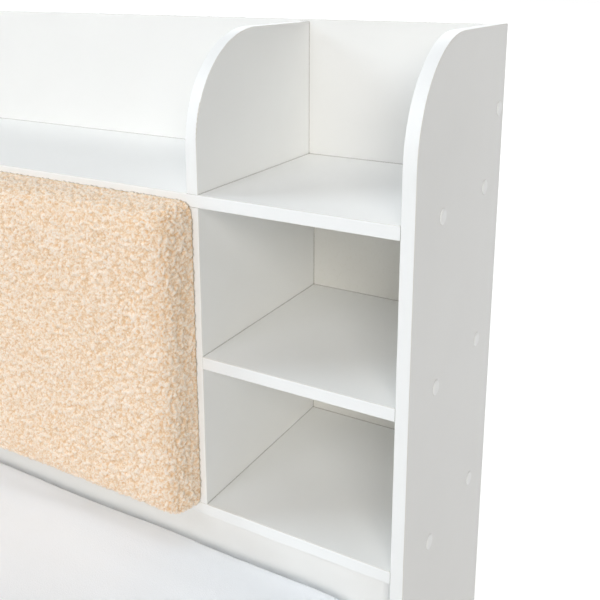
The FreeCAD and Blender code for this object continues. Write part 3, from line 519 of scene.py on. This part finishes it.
# ------------------------------------------------------------------ rails and footboard
# Boards on edge round the mattress. The rails hang between headboard and footboard on steel
# corner brackets; the footboard's glides carry the foot end.
dress(upright_board, "side_rail_right", "side_rail_left")
dress(across_board, "footboard")
dress(zinc, "rail_bracket_head_right", "rail_bracket_head_left", "rail_bracket_foot_right")
dress(zinc, "rail_bracket_foot_left", "bracket_screws")

# ------------------------------------------------------------------ slats, ledges, beam and legs
# Planed pine: fourteen slats are screwed down on two ledges, and a beam under their middle lies
# in two steel hangers and stands on two square legs. The grain runs along each piece.
PINE_PALE = (0.86, 0.70, 0.48, 1)
PINE_DARK = (0.70, 0.49, 0.27, 1)
PINE_STREAK = (0.90, 0.76, 0.56, 1)
across_grain = 26.0
along_grain = 1.2


def pine(name, per_metre):
    """Planed pine, whose grain changes so often in a metre: seldom along it, often across it."""
    material, tree, shader = surface(name, 0.6)
    places = node(tree, "TexCoord").outputs["Object"]
    along = node(tree, "Mapping", {"Vector": places, "Scale": per_metre}).outputs[0]
    slow = {"Vector": along, "Scale": 1.0, "Detail": 4.0, "Distortion": 0.6}
    growth = node(tree, "TexNoise", slow).outputs[0]
    fibre = node(tree, "TexNoise", {"Vector": along, "Scale": 9.0, "Detail": 3.0}).outputs[0]
    rings = node(tree, "Math", {0: growth, 1: 26.0}, operation="MULTIPLY").outputs[0]
    ring = node(tree, "Math", {0: rings}, operation="SINE").outputs[0]
    wood = mix(tree, ramp(tree, ring, -1.0, 1.0), PINE_PALE, PINE_DARK)
    streaked = mix(tree, ramp(tree, fibre, 0.35, 0.7, 0, 0.35), wood, PINE_STREAK)
    tree.links.new(streaked, shader.inputs["Base Color"])
    rough(tree, shader, fibre, 0.25, 0.0005)
    return material


pine_across = pine("pine_across_bed", (along_grain, across_grain, across_grain))
pine_along = pine("pine_along_bed", (across_grain, along_grain, across_grain))
pine_upright = pine("pine_upright", (across_grain, across_grain, along_grain))
slats = [name for name in nodes if name.startswith("slat_") and name[5:].isdigit()]
dress(pine_across, *slats)
dress(pine_along, "slat_ledge_right", "slat_ledge_left", "centre_beam")
dress(pine_upright, "centre_leg_head", "centre_leg_foot")
dress(zinc, "beam_hanger_head", "beam_hanger_foot", "slat_screws", "ledge_screws", "leg_bolts")

# ------------------------------------------------------------------ mattress
# A foam mattress, 140 x 200 cm, in a white knitted cover: it lies on the slats, crowned on top,
# and its cover gathers in soft puckers along the edges.
WHITE_KNIT = (0.94, 0.962, 0.993, 1)
KNIT_SHADE = (0.925, 0.95, 0.985, 1)


def creased(piece, low, high, seams, fold, pucker):
    """Shallow folds that run along the edges of the top, and puckers across the seams."""
    fold_long, fold_wide, ripple_wide = 0.22, 0.030, 0.030
    swell_wide, edge_reach, seam_reach, flat_height = 0.24, 0.11, 0.020, 0.03
    places = points_of(piece.data)
    out = normals_of(piece.data)
    shift = np.empty(len(places))
    for n, (x, y, z) in enumerate(places):
        to_end = min(high.y - y, y - low.y)
        to_edge = min(to_end, high.x - x, x - low.x)
        along, across = (fold_long, fold_wide) if to_end <= to_edge else (fold_wide, fold_long)
        long_fold = noise.noise(Vector((x / along, y / across, 4.2)))
        broad = noise.noise(Vector((x / swell_wide, y / swell_wide, z / swell_wide)))
        near_edge = math.exp(-max(to_edge, 0) / edge_reach)
        gather = sum(math.exp(-abs(z - seam) / seam_reach) for seam in seams)
        ripple = noise.noise(Vector((x / ripple_wide, y / ripple_wide, 1.7)))
        shift[n] = fold * (0.35 * broad + long_fold * near_edge) + pucker * ripple * gather
    rest = np.clip((places[:, 2] - low.z) / flat_height, 0, 1)
    set_points(piece.data, places + out * (shift * rest)[:, None])


def stitched(piece, seams, width, depth):
    """Seams that run level round a piece: the cloth is drawn in along a narrow groove."""
    work = bmesh.new()
    work.from_mesh(piece.data)
    for seam in seams:
        for offset in (-width, -width * 0.3, width * 0.3, width):
            cut = work.verts[:] + work.edges[:] + work.faces[:]
            level_at = (0, 0, seam + offset)
            bmesh.ops.bisect_plane(work, geom=cut, plane_co=level_at, plane_no=(0, 0, 1))
        work.normal_update()
        near = [v for v in work.verts if abs(v.co.z - seam) < width * 0.35]
        inner = [v for v in near if abs(v.normal.z) < 0.6]
        pull = [v.normal.copy() for v in inner]
        for vertex, way in zip(inner, pull):
            vertex.co -= Vector((way.x, way.y, 0)).normalized() * depth
    work.to_mesh(piece.data)
    work.free()


# The block starts a little inside the rails and the footboard, because the cover swells. It
# reaches nearer to the headboard and higher than the plain solid does.
mattress_low, mattress_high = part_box("mattress")
block_low = mattress_low + Vector((0.0042, 0.0038, 0))
block_high = mattress_high + Vector((-0.0042, 0.007, 0.003))
mattress = soft_block(
    "knitted_mattress", block_low, block_high,
    cell=0.026, corner_round=0.055, edge_in=0.017, edge_deep=0.016,
)
held_width = 0.024
spots = points_of(mattress.data)
inset = np.minimum(spots - np.array(block_low), np.array(block_high) - spots)
at_edge = (np.minimum(inset[:, 0], inset[:, 1]) < held_width) & (inset[:, 2] < held_width)
resting = spots[:, 2] < mattress_low.z + hair
stretched(mattress, resting | at_edge, most=0.005)
finer(mattress, 1)

seam_from_edge = 0.034
border_seams = (mattress_high.z - seam_from_edge, mattress_low.z + seam_from_edge)
creased(mattress, mattress_low, mattress_high, border_seams, fold=0.0044, pucker=0.0022)
stitched(mattress, border_seams, width=0.0035, depth=0.0022)
smooth(mattress)
knit, tree, shader = surface("white_knit", 0.85, Sheen_Weight=0.15)
shader.inputs["Specular IOR Level"].default_value = 0.25
whites = clouded(tree, grain(tree, 5.0, 3.0), WHITE_KNIT, KNIT_SHADE)
tree.links.new(whites, shader.inputs["Base Color"])
rough(tree, shader, small_cells(tree, 700.0)["Distance"], 0.3, 0.0005)
mattress.data.materials.append(knit)
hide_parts("mattress")
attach(mattress, "root")

# ------------------------------------------------------------------ screws, caps, dowels and glides
# Zinc-plated furniture screws are turned in through the side panels, under white push-in caps.
# Dowels sit in the joints, nails hold the thin panel, and plastic glides keep the edges off the
# floor.
CAP_WHITE = (0.94, 0.95, 0.95, 1)
CAP_PALE = (0.96, 0.97, 0.97, 1)

plastic, tree, shader = surface("white_plastic", 0.32)
mould = grain(tree, 900.0, 2.0)
tree.links.new(clouded(tree, mould, CAP_WHITE, CAP_PALE), shader.inputs["Base Color"])
rough(tree, shader, mould, 0.1, 0.0002)
dress(plastic, "screw_caps_right", "screw_caps_left", "floor_glides")
dress(zinc, "board_screws", "divider_screws", "back_panel_nails")
dress(pine_upright, "dowels")

# ------------------------------------------------------------------ floor and sky
# A plain white studio: a matt floor that keeps the bed's soft shadow, and an even sky. Where
# they are looked at or mirrored, the sky is pure white, and the floor gets whiter with distance.
FLOOR_GREY = (0.80, 0.80, 0.80, 1)
SKY_LIGHT = (1.0, 0.99, 0.97, 1)
WHITE = (1, 1, 1, 1)


def seen_itself(tree):
    """1 where the ground or sky is looked at or mirrored, 0 where it only hands on light."""
    ray = node(tree, "LightPath").outputs
    seen = {0: ray["Is Camera Ray"], 1: ray["Is Glossy Ray"]}
    or_glossy = node(tree, "Math", seen, operation="MAXIMUM").outputs[0]
    through = {0: or_glossy, 1: ray["Is Transmission Ray"]}
    return node(tree, "Math", through, operation="MAXIMUM").outputs[0]


half = 40
floor_mesh = bpy.data.meshes.new("floor")
floor_corners = [(-half, -half, 0), (half, -half, 0), (half, half, 0), (-half, half, 0)]
floor_mesh.from_pydata(floor_corners, [], [(0, 1, 2, 3)])
floor = bpy.data.objects.new("floor", floor_mesh)
bpy.context.scene.collection.objects.link(floor)
paint = bpy.data.materials.new("studio_floor")
paint.use_nodes = True
tree = paint.node_tree
tree.nodes.clear()
matt = node(tree, "BsdfDiffuse", {"Color": FLOOR_GREY}).outputs[0]
from_bedside = {0: node(tree, "TexCoord").outputs["Object"], 1: (0.3, -1.0, 0)}
far = node(tree, "VectorMath", from_bedside, operation="DISTANCE").outputs["Value"]
near_glow = ramp(tree, far, 1.2, 2.5, 0.36, 0.60)
glow_strength = ramp(tree, far, 6.0, 20.0, near_glow, 1.0)
glow = node(tree, "Emission", {"Color": WHITE, "Strength": glow_strength}).outputs[0]
lit = node(tree, "AddShader", {0: matt, 1: glow}).outputs[0]
ground = node(tree, "MixShader", {0: seen_itself(tree), 1: matt, 2: lit}).outputs[0]
node(tree, "OutputMaterial", {"Surface": ground})
floor_mesh.materials.append(paint)

sky = bpy.data.worlds.new("studio")
sky.use_nodes = True
bpy.context.scene.world = sky
tree = sky.node_tree
tree.nodes.clear()
even = node(tree, "Background", {"Color": SKY_LIGHT, "Strength": 0.16}).outputs[0]
white = node(tree, "Background", {"Color": WHITE, "Strength": 1.0}).outputs[0]
shown = node(tree, "MixShader", {0: seen_itself(tree), 1: even, 2: white}).outputs[0]
node(tree, "OutputWorld", {"Surface": shown})

# ------------------------------------------------------------------ lamps
# Five large soft boxes, far off so that they light the whole bed alike: the cool light of a
# window from the left, a warmer one from the right, and weaker ones in front, above and behind.
lit_place = corner + Vector((-0.355, 0.025, -0.115))
lamp_distance = 30


def lamp(name, around, above, size, power, colour):
    """A soft box that faces the right end of the headboard: so many degrees round from its
    front towards the right, and so many above the level."""
    light = bpy.data.lights.new(name, "AREA")
    light.shape = "SQUARE"
    light.size = size
    light.energy = power
    light.color = colour
    made = bpy.data.objects.new(name, light)
    bpy.context.scene.collection.objects.link(made)
    turn, rise = math.radians(around), math.radians(above)
    level = math.cos(rise)
    away = Vector((math.sin(turn) * level, -math.cos(turn) * level, math.sin(rise)))
    made.location = lit_place + away * lamp_distance
    made.rotation_euler = (-away).to_track_quat("-Z", "Y").to_euler()


lamp("left", around=-66, above=30, size=11, power=3450, colour=(0.83, 0.925, 1.0))
lamp("front", around=-12, above=36, size=12, power=1600, colour=(0.97, 0.97, 1.0))
lamp("front_right", around=35, above=22, size=12, power=3900, colour=(1.0, 0.96, 0.90))
lamp("overhead", around=0, above=80, size=17, power=1190, colour=(0.86, 0.93, 1.0))
lamp("behind", around=-160, above=35, size=19, power=2200, colour=(1.0, 1.0, 1.0))

# White boards hand the light on to each other many times before it fades.
bpy.context.scene.cycles.diffuse_bounces = 10
